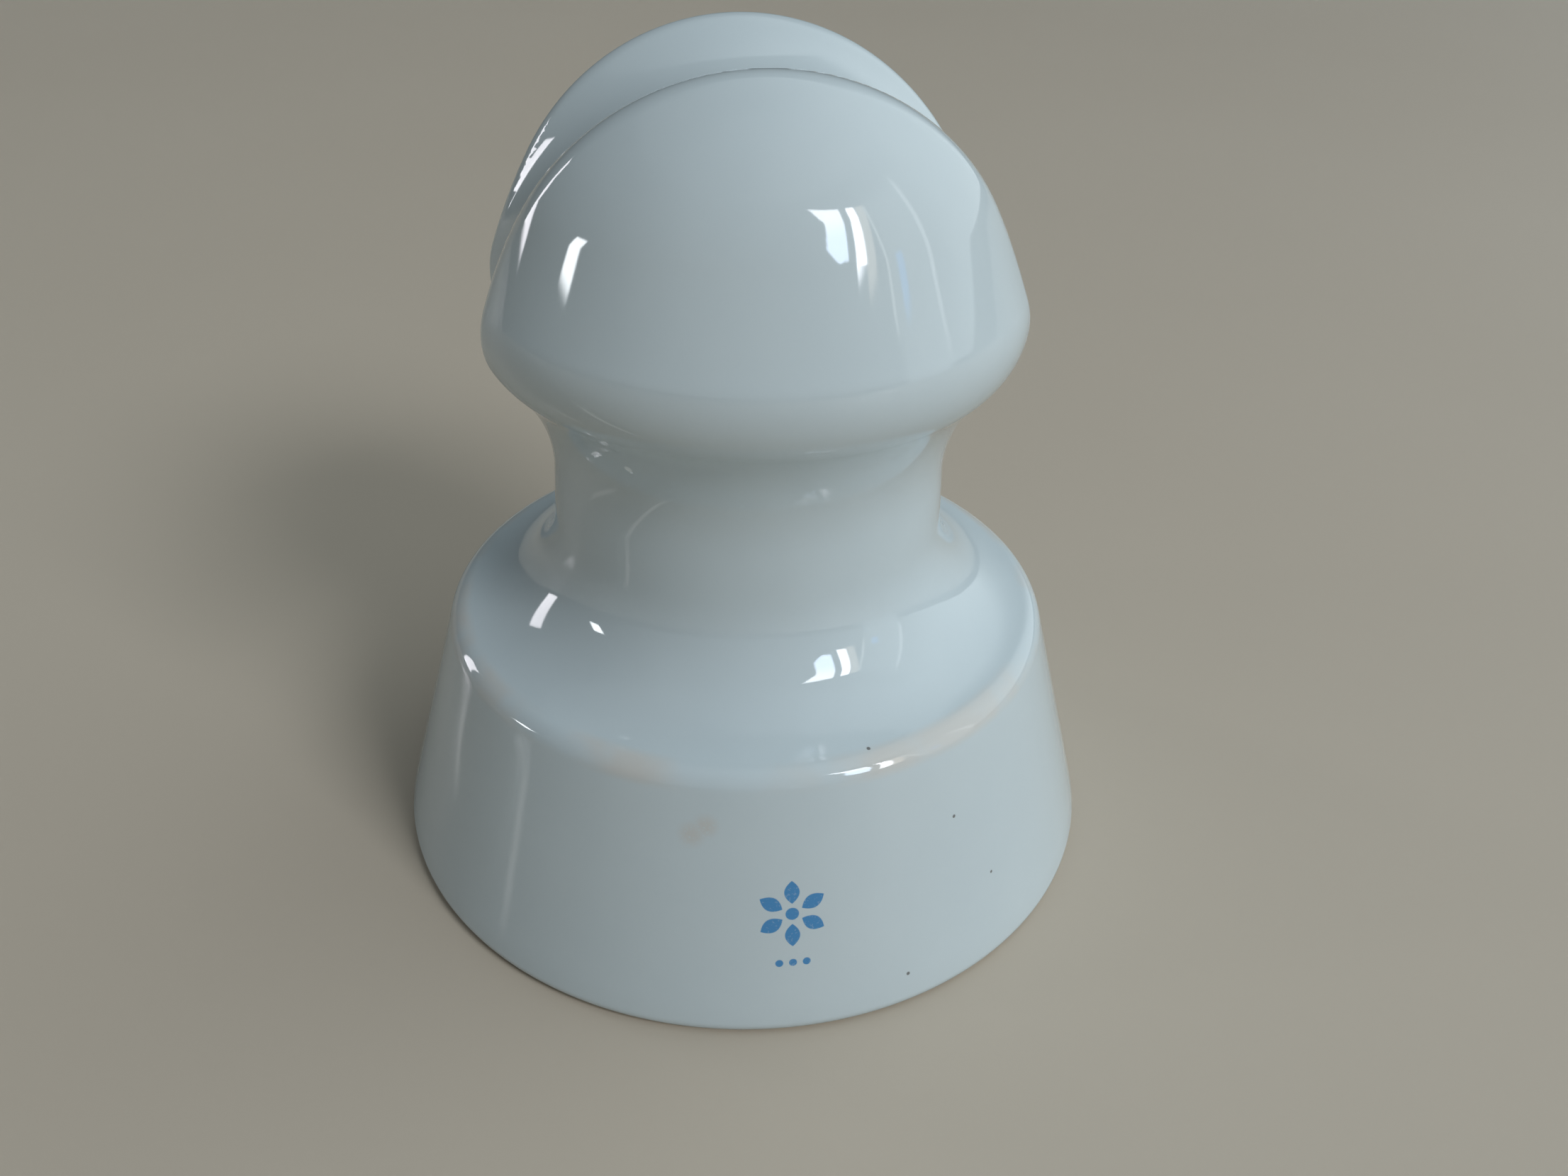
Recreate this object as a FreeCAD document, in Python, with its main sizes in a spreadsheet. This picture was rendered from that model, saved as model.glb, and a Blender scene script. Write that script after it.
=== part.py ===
"""Porcelain pin insulator: a hollow skirt, a waist and a domed head, with a saddle groove over the head for the wire.

The body is turned about Z and stands on its foot ring at Z = 0. The saddle groove runs along X.
Inside the skirt a boss hangs from the roof, and a coarse thread in it takes the pin.
"""
import FreeCAD, Part
import math
import os
import Sketcher

VECTOR = FreeCAD.Vector
UP = VECTOR(0, 0, 1)

# Driving dimensions, in millimetres and degrees.
SIZES = {
    "foot_radius": 56.3,
    "shoulder_radius": 45.4,
    "shoulder_height": 38.2,
    "waist_foot_radius": 29.5,
    "waist_foot_rise": 2.9,
    "waist_top_radius": 28.0,
    "waist_length": 30.6,
    "brim_rise": 12.3,
    "crown_radius": 35.3,
    "crown_rise": 4.7,
    "crown_angle": 22.0,
    "skirt_foot_wall": 9.9,
    "skirt_top_wall": 7.3,
    "roof_thickness": 9.2,
    "boss_roof_radius": 24.0,
    "boss_foot_radius": 20.5,
    "boss_foot_height": 7.0,
    "pin_radius": 12.0,
    "pin_depth": 63.0,
    "pin_mouth_flare": 2.2,
    "pin_end_taper": 4.0,
    "saddle_radius": 22.0,
    "saddle_path_radius": 55.5,
    "saddle_drop": 7.5,
    "saddle_sweep": 200.0,
    "saddle_lip_round": 5.0,
    "foot_outer_round": 1.6,
    "foot_inner_round": 2.0,
    "shoulder_round": 3.6,
    "waist_foot_round": 16.4,
    "waist_round": 24.0,
    "brim_round": 10.0,
    "roof_outer_round": 5.0,
    "roof_inner_round": 4.0,
    "boss_round": 2.5,
    "thread_pitch": 6.35,
    "thread_length": 57.0,
    "thread_rise": 1.0,
    "thread_depth": 1.5,
    "thread_overlap": 0.3,
    "thread_mouth": 4.6,
    "thread_root": 1.6,
}

# Sizes that follow from the driving ones.
FORMULAS = {
    "ground": "0",
    "waist_foot_height": "=shoulder_height + waist_foot_rise",
    "waist_top_height": "=waist_foot_height + waist_length",
    "brim_height": "=waist_top_height + brim_rise",
    "crown_centre": "=brim_height + crown_rise",
    "crown_top": "=crown_centre + crown_radius",
    "crown_foot_radius": "=crown_radius * cos(crown_angle * 1 deg)",
    "crown_foot_height": "=crown_centre + crown_radius * sin(crown_angle * 1 deg)",
    "brim_radius": "=crown_foot_radius + (crown_foot_height - brim_height) * tan(crown_angle * 1 deg)",
    "skirt_inner_radius": "=foot_radius - skirt_foot_wall",
    "skirt_roof_radius": "=shoulder_radius - skirt_top_wall",
    "roof_height": "=shoulder_height - roof_thickness",
    "pin_mouth_radius": "=pin_radius + pin_mouth_flare",
    "pin_mouth_top": "=boss_foot_height + pin_mouth_flare",
    "pin_straight_top": "=boss_foot_height + pin_depth",
    "pin_end_radius": "=pin_radius - pin_end_taper",
    "pin_end_height": "=pin_straight_top + pin_end_taper",
    "saddle_path_centre": "=crown_centre - saddle_drop",
    "saddle_low": "=saddle_path_centre + saddle_path_radius",
    "saddle_high": "=saddle_low + saddle_radius",
    "thread_start": "=boss_foot_height + thread_rise",
    "thread_inner": "=pin_radius - thread_overlap",
    "thread_outer": "=pin_radius + thread_depth",
    "thread_mouth_low": "=thread_start - thread_mouth / 2",
    "thread_mouth_high": "=thread_start + thread_mouth / 2",
    "thread_root_low": "=thread_start - thread_root / 2",
    "thread_root_high": "=thread_start + thread_root / 2",
}

# Corners of the half section: radius, height, and the radius that rounds the corner, or None for a sharp one.
# They run from the top of the pin hole down its wall, round the boss, the roof and the foot, and up the outside.
CORNERS = [
    ("pin_end_radius", "pin_end_height", None),
    ("pin_radius", "pin_straight_top", None),
    ("pin_radius", "pin_mouth_top", None),
    ("pin_mouth_radius", "boss_foot_height", None),
    ("boss_foot_radius", "boss_foot_height", "boss_round"),
    ("boss_roof_radius", "roof_height", "roof_inner_round"),
    ("skirt_roof_radius", "roof_height", "roof_outer_round"),
    ("skirt_inner_radius", "ground", "foot_inner_round"),
    ("foot_radius", "ground", "foot_outer_round"),
    ("shoulder_radius", "shoulder_height", "shoulder_round"),
    ("waist_foot_radius", "waist_foot_height", "waist_foot_round"),
    ("waist_top_radius", "waist_top_height", "waist_round"),
    ("brim_radius", "brim_height", "brim_round"),
    ("crown_foot_radius", "crown_foot_height", None),
]

# Share of a straight run that the roundings at its two ends may take up.
RUN_SHARE = 0.998

DOC = FreeCAD.newDocument("pin_insulator")


def rounding_formulas():
    """Formulas that hold a rounding back only where the runs beside its corner are too short for it.

    A corner's bend is the tangent of half its turn, so a rounding takes its radius times the bend from each run.
    """
    places = [("ground", "pin_end_height")] + [corner[:2] for corner in CORNERS]
    rounds = [corner[2] for corner in CORNERS]
    cells = {}
    for run, ((r1, z1), (r2, z2)) in enumerate(zip(places, places[1:])):
        cells[f"run{run}_across"] = f"={r2} - {r1}"
        cells[f"run{run}_up"] = f"={z2} - {z1}"
        cells[f"run{run}_long"] = f"=sqrt(run{run}_across ^ 2 + run{run}_up ^ 2)"
    for number, rounding in enumerate(rounds):
        if rounding:
            a, b = f"run{number}", f"run{number + 1}"
            turn = f"{a}_across * {b}_up - {a}_up * {b}_across"
            along = f"{a}_long * {b}_long + {a}_across * {b}_across + {a}_up * {b}_up"
            cells[f"{rounding}_setback"] = f"={rounding} * abs({turn}) / ({along})"
    for run in range(1, len(rounds)):
        taken = [f"{name}_setback" for name in rounds[run - 1:run + 1] if name]
        if taken:
            cells[f"run{run}_fit"] = f"=min(1; {RUN_SHARE} * run{run}_long / ({' + '.join(taken)}))"
    for number, rounding in enumerate(rounds):
        if rounding:
            cells[f"{rounding}_used"] = f"={rounding} * min(run{number}_fit; run{number + 1}_fit)"
    return cells


def make_sheet():
    """Sheet with one named cell for each size."""
    sheet = DOC.addObject("Spreadsheet::Sheet", "Sizes")
    cells = {name: str(value) for name, value in SIZES.items()}
    cells.update(FORMULAS)
    cells.update(rounding_formulas())
    for row, (name, text) in enumerate(cells.items(), start=1):
        sheet.set(f"A{row}", name)
        sheet.set(f"B{row}", text)
        sheet.setAlias(f"B{row}", name)
    DOC.recompute()
    return sheet


SHEET = make_sheet()


def size(name):
    """Value of one cell of the sheet."""
    return float(SHEET.get(name))


def origin_feature(body, role):
    """One of the body's own origin planes or axes, found by its role."""
    return next(item for item in body.Origin.OriginFeatures if item.Role == role)


class Drawing:
    """A sketch on one of the body's origin planes, with short ways to draw and to constrain."""

    def __init__(self, body, name, role):
        self.sketch = body.newObject("Sketcher::SketchObject", name)
        self.sketch.AttachmentSupport = [(origin_feature(body, role), "")]
        self.sketch.MapMode = "FlatFace"
        DOC.recompute()

    def line(self, start, end, construction=False):
        return self.sketch.addGeometry(Part.LineSegment(start, end), construction)

    def arc(self, centre, radius, first, last):
        circle = Part.Circle(centre, UP, radius)
        return self.sketch.addGeometry(Part.ArcOfCircle(circle, first, last), False)

    def fix(self, kind, *places):
        """Geometric constraint."""
        return self.sketch.addConstraint(Sketcher.Constraint(kind, *places))

    def bind(self, kind, places, cell):
        """Dimension that follows a cell of the sheet."""
        index = self.fix(kind, *places, size(cell))
        self.sketch.setExpression(f"Constraints[{index}]", f"Sizes.{cell}")

    def place(self, item, end, radius, height):
        """Puts an end of a line, or the centre of an arc, at the cells' radius and height."""
        for kind, cell, axis in (("DistanceX", radius, -2), ("DistanceY", height, -1)):
            if cell is None or size(cell) == 0:
                self.fix("PointOnObject", item, end, axis)
            else:
                self.bind(kind, (-1, 1, item, end), cell)


def corner_arc(before, corner, after, radius):
    """Arc that rounds a corner: its centre, its two ends in drawing order, and whether it turns left."""
    arriving = (corner - before).normalize()
    leaving = (after - corner).normalize()
    turn = math.atan2(arriving.x * leaving.y - arriving.y * leaving.x, arriving.dot(leaving))
    setback = radius * math.tan(abs(turn) / 2)
    side = math.copysign(radius, turn)
    start, end = corner - arriving * setback, corner + leaving * setback
    centre = start + VECTOR(-arriving.y, arriving.x, 0) * side
    return centre, start, end, turn > 0


def angle_from(centre, point):
    """Direction of a point seen from the centre, in radians."""
    return math.atan2(point.y - centre.y, point.x - centre.x)


def draw_section(body):
    """Half section of the turned body: straight runs with rounded corners, the crown's arc and the axis."""
    drawing = Drawing(body, "Section", "XZ_Plane")
    corners = [VECTOR(size(radius), size(height), 0) for radius, height, _ in CORNERS]
    inner_end, crown_top = VECTOR(0, size("pin_end_height"), 0), VECTOR(0, size("crown_top"), 0)
    points = [inner_end] + corners

    # The guide lines join the sharp corners, which carry the sizes.
    guides = [drawing.line(a, b, construction=True) for a, b in zip(points, points[1:])]
    drawing.place(guides[0], 1, None, "pin_end_height")
    for guide, (radius, height, _) in zip(guides, CORNERS):
        drawing.place(guide, 2, radius, height)
    for guide, following in zip(guides, guides[1:]):
        drawing.fix("Coincident", guide, 2, following, 1)

    # Each run lies on its guide line, and an arc joins it to the next one where the corner is rounded.
    run_start, first, earlier = inner_end, None, None
    for index, (guide, (_, _, rounding)) in enumerate(zip(guides, CORNERS)):
        corner = corners[index]
        if rounding:
            rounding = f"{rounding}_used"
            centre, run_end, arc_end, left = corner_arc(points[index], corner, points[index + 2], size(rounding))
        else:
            run_end, arc_end = corner, corner
        run = drawing.line(run_start, run_end)
        if earlier is None:
            first = run
            drawing.fix("Coincident", run, 1, guide, 1)
        elif earlier[2]:
            drawing.fix("Tangent", earlier[0], earlier[1], run, 1)
            drawing.fix("PointOnObject", run, 1, guide)
        else:
            drawing.fix("Coincident", earlier[0], earlier[1], run, 1)
        if rounding:
            ends = [angle_from(centre, run_end), angle_from(centre, arc_end)]
            first_end, last_end = (1, 2) if left else (2, 1)
            if not left:
                ends.reverse()
            arc = drawing.arc(centre, size(rounding), *ends)
            drawing.fix("PointOnObject", run, 2, guide)
            drawing.fix("Tangent", run, 2, arc, first_end)
            drawing.bind("Radius", (arc,), rounding)
            earlier = (arc, last_end, True)
        else:
            drawing.fix("Coincident", run, 2, guide, 2)
            earlier = (run, 2, False)
        run_start = arc_end

    crown_centre, crown_start = VECTOR(0, size("crown_centre"), 0), math.radians(size("crown_angle"))
    crown = drawing.arc(crown_centre, size("crown_radius"), crown_start, math.pi / 2)
    axis = drawing.line(crown_top, inner_end)
    drawing.fix("Coincident", earlier[0], earlier[1], crown, 1)
    drawing.fix("Coincident", crown, 2, axis, 1)
    drawing.fix("Coincident", axis, 2, first, 1)
    drawing.fix("PointOnObject", axis, 1, -2)
    drawing.place(crown, 3, None, "crown_centre")
    DOC.recompute()
    return drawing.sketch


def turn_body(body):
    """Full turn of the section about Z."""
    feature = body.newObject("PartDesign::Revolution", "Turned")
    feature.Profile = draw_section(body)
    feature.ReferenceAxis = (feature.Profile[0], ["V_Axis"])
    feature.Angle = 360.0
    DOC.recompute()


def cut_saddle(body):
    """Saddle groove over the head along X: a U section on an arc that runs out of the head at the brim."""
    drawing = Drawing(body, "SaddleSection", "YZ_Plane")
    half, low, high = size("saddle_radius"), size("saddle_low"), size("saddle_high")
    floor = drawing.arc(VECTOR(0, low, 0), half, math.pi, 2 * math.pi)
    right = drawing.line(VECTOR(half, low, 0), VECTOR(half, high, 0))
    lid = drawing.line(VECTOR(half, high, 0), VECTOR(-half, high, 0))
    left = drawing.line(VECTOR(-half, high, 0), VECTOR(-half, low, 0))
    pivot = VECTOR(0, size("saddle_path_centre"), 0)
    hinge = drawing.line(pivot, pivot + VECTOR(half, 0, 0), construction=True)
    drawing.fix("Tangent", floor, 2, right, 1)
    drawing.fix("Coincident", right, 2, lid, 1)
    drawing.fix("Coincident", lid, 2, left, 1)
    drawing.fix("Tangent", left, 2, floor, 1)
    drawing.fix("Vertical", right)
    drawing.fix("Horizontal", lid)
    drawing.fix("Vertical", left)
    drawing.fix("Horizontal", hinge)
    drawing.place(floor, 3, None, "saddle_low")
    drawing.place(hinge, 1, None, "saddle_path_centre")
    drawing.bind("DistanceY", (-1, 1, lid, 1), "saddle_high")
    drawing.bind("DistanceX", (hinge, 1, hinge, 2), "saddle_radius")
    drawing.bind("Radius", (floor,), "saddle_radius")
    DOC.recompute()
    feature = body.newObject("PartDesign::Groove", "Saddle")
    feature.Profile = drawing.sketch
    feature.ReferenceAxis = (drawing.sketch, ["Axis0"])
    feature.setExpression("Angle", "Sizes.saddle_sweep")
    feature.Midplane = True
    DOC.recompute()


def cut_by_saddle(face):
    """Whether the saddle cut this face: its axis then lies along Y, where every other face has Z."""
    axis = getattr(face.Surface, "Axis", None)
    return axis is not None and abs(axis.y) > 0.999


def round_lips(body):
    """Rounding of the saddle's lips, all along both sides and at the ends."""
    base = body.Tip
    edges = enumerate(base.Shape.Edges, start=1)
    sides = [(number, base.Shape.ancestorsOfType(edge, Part.Face)) for number, edge in edges]
    lips = [f"Edge{number}" for number, faces in sides if sum(map(cut_by_saddle, faces)) == 1]
    feature = body.newObject("PartDesign::Fillet", "SaddleLips")
    feature.Base = (base, lips)
    feature.setExpression("Radius", "Sizes.saddle_lip_round")
    DOC.recompute()


def cut_thread(body):
    """Coarse thread of the pin hole: a tapered groove wound up its wall from the mouth."""
    drawing = Drawing(body, "ThreadSection", "XZ_Plane")
    cells = [
        ("thread_inner", "thread_mouth_low"),
        ("thread_outer", "thread_root_low"),
        ("thread_outer", "thread_root_high"),
        ("thread_inner", "thread_mouth_high"),
    ]
    points = [VECTOR(size(radius), size(height), 0) for radius, height in cells]
    lines = [drawing.line(a, b) for a, b in zip(points, points[1:] + points[:1])]
    for line, following, (radius, height) in zip(lines, lines[1:] + lines[:1], cells):
        drawing.fix("Coincident", line, 2, following, 1)
        drawing.place(line, 1, radius, height)
    DOC.recompute()
    feature = body.newObject("PartDesign::SubtractiveHelix", "Thread")
    feature.Profile = drawing.sketch
    feature.ReferenceAxis = (origin_feature(body, "Z_Axis"), "")
    feature.Mode = "pitch-height-angle"
    feature.setExpression("Pitch", "Sizes.thread_pitch")
    feature.setExpression("Height", "Sizes.thread_length")
    DOC.recompute()


def check(body):
    """Stops the build if any object failed or the finished shape is unsound."""
    for item in DOC.Objects:
        if "Invalid" in item.State or "Error" in item.State:
            raise RuntimeError(f"{item.Name} failed: {item.State}")
    if body.Shape.isNull() or not body.Shape.isValid() or len(body.Shape.Solids) != 1:
        raise RuntimeError(f"{body.Label} is not one sound solid")


def main():
    body = DOC.addObject("PartDesign::Body", "PorcelainBody")
    body.Label = "porcelain_body"
    for step in (turn_body, cut_saddle, round_lips, cut_thread):
        before = body.Shape.Volume if body.Tip else 0.0
        step(body)
        print(f"{body.Tip.Name}: volume {before:.0f} -> {body.Shape.Volume:.0f} mm3")
        if body.Shape.Volume == before:
            raise RuntimeError(f"{body.Tip.Name} changed nothing")
    body.Placement = FreeCAD.Placement(VECTOR(0, 0, 0), FreeCAD.Rotation())
    DOC.recompute()
    check(body)
    os.makedirs("parts", exist_ok=True)
    body.Shape.exportStep(f"parts/{body.Label}.step")
    box = body.Shape.BoundBox
    print(f"{body.Label}: {box.XLength:.1f} x {box.YLength:.1f} x {box.ZLength:.1f} mm")


main()
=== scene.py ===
"""Glazed porcelain pin insulator standing on a pale floor, in the soft light of a plain room."""
import math

import bpy
import numpy as np
from mathutils import Matrix, Vector


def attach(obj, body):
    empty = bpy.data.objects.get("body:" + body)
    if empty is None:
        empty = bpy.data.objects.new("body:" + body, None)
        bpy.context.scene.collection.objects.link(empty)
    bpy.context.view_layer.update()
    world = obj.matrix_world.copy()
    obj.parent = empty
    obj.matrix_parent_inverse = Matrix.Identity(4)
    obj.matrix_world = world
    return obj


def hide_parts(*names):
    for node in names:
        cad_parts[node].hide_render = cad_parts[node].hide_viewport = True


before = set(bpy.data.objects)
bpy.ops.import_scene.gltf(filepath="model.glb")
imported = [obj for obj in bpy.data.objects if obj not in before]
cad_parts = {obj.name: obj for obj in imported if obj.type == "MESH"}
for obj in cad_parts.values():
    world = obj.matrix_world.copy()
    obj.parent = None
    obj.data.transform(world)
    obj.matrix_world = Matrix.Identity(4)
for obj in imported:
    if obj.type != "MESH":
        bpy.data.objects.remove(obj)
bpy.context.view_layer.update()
MM = 0.001

# Sizes of the turned body, in millimetres.
CROWN_RADIUS, CROWN_CENTRE, CROWN_ANGLE = 35.3, 88.7, math.radians(22.0)
CROWN_FOOT = (CROWN_RADIUS * math.cos(CROWN_ANGLE), CROWN_CENTRE + CROWN_RADIUS * math.sin(CROWN_ANGLE))
BRIM_HEIGHT, BRIM_ROUND, WAIST_ROUND = 84.0, 10.0, 24.0
BRIM_RADIUS = CROWN_FOOT[0] + (CROWN_FOOT[1] - BRIM_HEIGHT) * math.tan(CROWN_ANGLE)
FOOT_RADIUS, SHOULDER_RADIUS, SHOULDER_HEIGHT = 56.3, 45.4, 38.2
SKIRT_TILT = math.atan2(FOOT_RADIUS - SHOULDER_RADIUS, SHOULDER_HEIGHT)
HOLE_RADIUS, HOLE_TAPER_FOOT, HOLE_TOP = 12.0, 70.0, 74.0
BOSS_HEIGHT, ROOF_HEIGHT = 7.0, 29.0

# Saddle groove: a round floor on an arc about an axis along Y, open above, with rounded lips.
SADDLE_RADIUS, SADDLE_PATH, SADDLE_AXIS, LIP_ROUND = 22.0, 55.5, 81.2, 5.0

# Pin thread: pitch, first turn, last turn, height over which it runs out, and depth. Then half widths of its
# groove at the mouth and at the root, and how far the groove's slopes start outside the wall.
PITCH, THREAD_START, THREAD_END, THREAD_RUN_OUT, THREAD_DEPTH = 6.35, 8.0, 65.0, 2.0, 1.5
THREAD_MOUTH, THREAD_ROOT, THREAD_OVERLAP = 2.3, 0.8, 0.3

# Corners of the half section: radius, height, rounding, rows on the run up to it, rows on its rounding.
CORNERS = (
    (8.0, HOLE_TOP, 0.0, 2, 0),  # blind end of the pin hole
    (HOLE_RADIUS, HOLE_TAPER_FOOT, 0.0, 3, 0),  # foot of its taper
    (HOLE_RADIUS, 9.2, 0.0, 84, 0),  # top of its flare
    (14.2, BOSS_HEIGHT, 0.0, 3, 0),  # its mouth
    (20.5, BOSS_HEIGHT, 2.5, 3, 7),  # outer edge of the boss
    (24.0, ROOF_HEIGHT, 4.0, 4, 7),  # root of the boss
    (38.1, ROOF_HEIGHT, 5.0, 4, 8),  # top of the skirt's inner wall
    (46.4, 0.0, 2.0, 5, 8),  # inner edge of the foot ring
    (FOOT_RADIUS, 0.0, 1.6, 3, 8),  # outer edge of the foot ring
    (SHOULDER_RADIUS, SHOULDER_HEIGHT, 3.6, 12, 12),  # shoulder
    (29.5, 41.1, 16.4, 4, 20),  # foot of the waist
    (28.0, 71.7, WAIST_ROUND, 4, 16),  # top of the waist
    (BRIM_RADIUS, BRIM_HEIGHT, BRIM_ROUND, 1, 16),  # brim
    (*CROWN_FOOT, 0.0, 12, 0),  # foot of the crown's ball
)
# Corners of the pin hole, first in the list, then rows on the crown's ball, and columns round the body.
HOLE_CORNERS, CROWN_ROWS, COLUMNS = 4, 50, 336

# Rows above this height lie on the head, and their points slide onto its surface in so many steps.
HEAD_FOOT, SLIDE_STEPS = 76.0, 60
# Nearly parallel walls count as leaning no more than this, and what divides is kept just over zero.
LEAN_LIMIT, TINY = 0.98, 1e-9
# Faces that meet at more than this angle keep their edge in the shading.
SHARP_ANGLE = math.radians(40.0)


def half_section():
    """Half section of the body, from the pin hole's top round the boss, roof and foot to the crown's top.

    Straight runs join the corners, and a corner with a rounding is replaced by the arc that is tangent to
    both runs. Returns the points and, for each corner, the centre of its arc or None.
    """
    places = [np.array((0.0, HOLE_TOP))] + [np.array(corner[:2]) for corner in CORNERS]
    points, centres, start = [places[0]], [], places[0]
    for index, (_, _, rounding, run_rows, arc_rows) in enumerate(CORNERS, start=1):
        corner, end, centre = places[index], places[index], None
        if rounding:
            arriving = corner - places[index - 1]
            leaving = places[index + 1] - corner
            arriving, leaving = arriving / np.hypot(*arriving), leaving / np.hypot(*leaving)
            turn = math.atan2(arriving[0] * leaving[1] - arriving[1] * leaving[0], arriving @ leaving)
            end = corner - arriving * rounding * math.tan(abs(turn) / 2)
            centre = end + np.array((-arriving[1], arriving[0])) * math.copysign(rounding, turn)
        points += [start + (end - start) * share for share in np.linspace(0, 1, run_rows + 1)[1:]]
        start = end
        if rounding:
            spoke = end - centre
            for angle in np.linspace(0, turn, arc_rows + 1)[1:]:
                c, s = math.cos(angle), math.sin(angle)
                start = centre + np.array((c * spoke[0] - s * spoke[1], s * spoke[0] + c * spoke[1]))
                points.append(start)
        centres.append(centre)
    angles = np.linspace(CROWN_ANGLE, math.pi / 2, CROWN_ROWS + 1)[1:]
    crown = np.stack((CROWN_RADIUS * np.cos(angles), CROWN_CENTRE + CROWN_RADIUS * np.sin(angles)), -1)
    return np.vstack((points, crown)), centres


SECTION, CENTRES = half_section()
WAIST_CENTRE, BRIM_CENTRE = CENTRES[-3:-1]


def turned_distance(points):
    """Distance outside the turned head, negative inside it, and the way it grows.

    The head is the crown's ball, the cone below it, the brim's ring and the hollow above the waist: each
    point is measured to the one that its direction from their centres picks.
    """
    r = np.hypot(points[..., 0], points[..., 1])
    z = points[..., 2]
    crown_r, crown_z = r, z - CROWN_CENTRE
    brim_r, brim_z = r - BRIM_CENTRE[0], z - BRIM_CENTRE[1]
    waist_r, waist_z = WAIST_CENTRE[0] - r, WAIST_CENTRE[1] - z
    cone_r, cone_z = math.cos(CROWN_ANGLE), math.sin(CROWN_ANGLE)
    crown_away = np.hypot(crown_r, crown_z) + TINY
    brim_away = np.hypot(brim_r, brim_z) + TINY
    waist_away = np.hypot(waist_r, waist_z) + TINY

    on_crown = crown_z * cone_r >= crown_r * cone_z
    on_cone = brim_z * cone_r >= brim_r * cone_z
    under = WAIST_CENTRE - BRIM_CENTRE
    in_waist = (brim_r * under[1] - brim_z * under[0] > 0) & (brim_z < 0)
    cases = [on_crown, on_cone, in_waist]

    from_cone = brim_r * cone_r + brim_z * cone_z - BRIM_ROUND
    distances = [crown_away - CROWN_RADIUS, from_cone, WAIST_ROUND - waist_away]
    outward = [crown_r / crown_away, np.full_like(r, cone_r), waist_r / waist_away]
    upward = [crown_z / crown_away, np.full_like(r, cone_z), waist_z / waist_away]
    distance = np.select(cases, distances, brim_away - BRIM_ROUND)
    out = np.select(cases, outward, brim_r / brim_away)
    up = np.select(cases, upward, brim_z / brim_away)
    r = np.maximum(r, TINY)
    return distance, np.stack((out * points[..., 0] / r, out * points[..., 1] / r, up), -1)


def saddle_distance(points):
    """Distance into the saddle groove from its wall, negative in the porcelain, and the way it grows.

    Seen along its arc the groove is a circle round the path, and above the path its sides go on straight.
    """
    x, y, z = np.moveaxis(points, -1, 0)
    rise = z - SADDLE_AXIS
    reach = np.hypot(x, rise) + TINY
    out = np.minimum(reach - SADDLE_PATH, 0)
    wide = np.hypot(out, y) + TINY
    return SADDLE_RADIUS - wide, -np.stack((out / wide * x / reach, y / wide, out / wide * rise / reach), -1)


def head_distance(points):
    """Distance outside the head with its saddle and rounded lips, negative inside, and the way it grows.

    Both walls are drawn in by the rounding, and the head is everything within one rounding of what is left:
    beside a single wall that is the wall itself, and past both it is the distance to the edge where the
    drawn-in walls meet.
    """
    turned, turned_way = turned_distance(points)
    saddle, saddle_way = saddle_distance(points)
    a, b = turned + LIP_ROUND, saddle + LIP_ROUND
    lean = np.clip((turned_way * saddle_way).sum(-1), -LEAN_LIMIT, LEAN_LIMIT)
    past_both = (a > b * lean) & (b > a * lean)
    spread = 1 - lean * lean
    edge = np.sqrt(np.maximum(a * a + b * b - 2 * a * b * lean, 0) / spread)
    distance = np.where(past_both, edge, np.maximum(a, b)) - LIP_ROUND
    share_a = np.where(past_both, (a - b * lean) / spread, a >= b)
    share_b = np.where(past_both, (b - a * lean) / spread, a < b)
    way = share_a[..., None] * turned_way + share_b[..., None] * saddle_way
    return distance, way / np.linalg.norm(way, axis=-1, keepdims=True)


def thread_depth(height, angle):
    """Depth of the thread's groove in the wall of the pin hole, at a height and an angle round Z.

    The groove's middle rises one pitch a turn. Its depth falls with the distance from there, along Z, on
    slopes that run from the root to the mouth, and it fades over the height of the run-out.
    """
    turns = (height - THREAD_START) / PITCH - angle / (2 * math.pi)
    off = np.abs((turns + 0.5) % 1 - 0.5) * PITCH
    slope = (THREAD_DEPTH + THREAD_OVERLAP) / (THREAD_MOUTH - THREAD_ROOT)
    depth = np.clip((THREAD_MOUTH - off) * slope - THREAD_OVERLAP, 0, THREAD_DEPTH)
    return depth * np.clip((THREAD_END - height) / THREAD_RUN_OUT + 0.5, 0, 1)


def body_points():
    """Rows and columns of points over the whole body: the half section turned about Z, with two changes.

    Up to its taper the pin hole's radius grows by the thread's depth. On the head each point slides straight
    towards the middle of the saddle's arc until it meets the head with its saddle. Returns the points and,
    on the head, their normals.
    """
    angle = np.linspace(0, 2 * math.pi, COLUMNS, endpoint=False)[None, :]
    radius = np.repeat(SECTION[:, :1], COLUMNS, 1)
    height = np.repeat(SECTION[:, 1:], COLUMNS, 1)
    hole_rows = 1 + sum(run_rows for *_, run_rows, _ in CORNERS[:HOLE_CORNERS])
    r, z = radius[:hole_rows], height[:hole_rows]
    threaded = np.maximum(r, HOLE_RADIUS + thread_depth(z, angle))
    radius[:hole_rows] = np.where(z < HOLE_TAPER_FOOT, threaded, r)
    points = np.stack((radius * np.cos(angle), radius * np.sin(angle), height), -1)

    head = height[:, 0] > HEAD_FOOT
    surface = points[head]
    inward = np.array((0.0, 0.0, SADDLE_AXIS)) - surface
    inward /= np.linalg.norm(inward, axis=-1, keepdims=True)
    for _ in range(SLIDE_STEPS):
        surface = surface + inward * head_distance(surface)[0][..., None]
    points[head] = surface
    normals = np.zeros_like(points)
    normals[head] = head_distance(surface)[1]
    return points, normals


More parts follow.
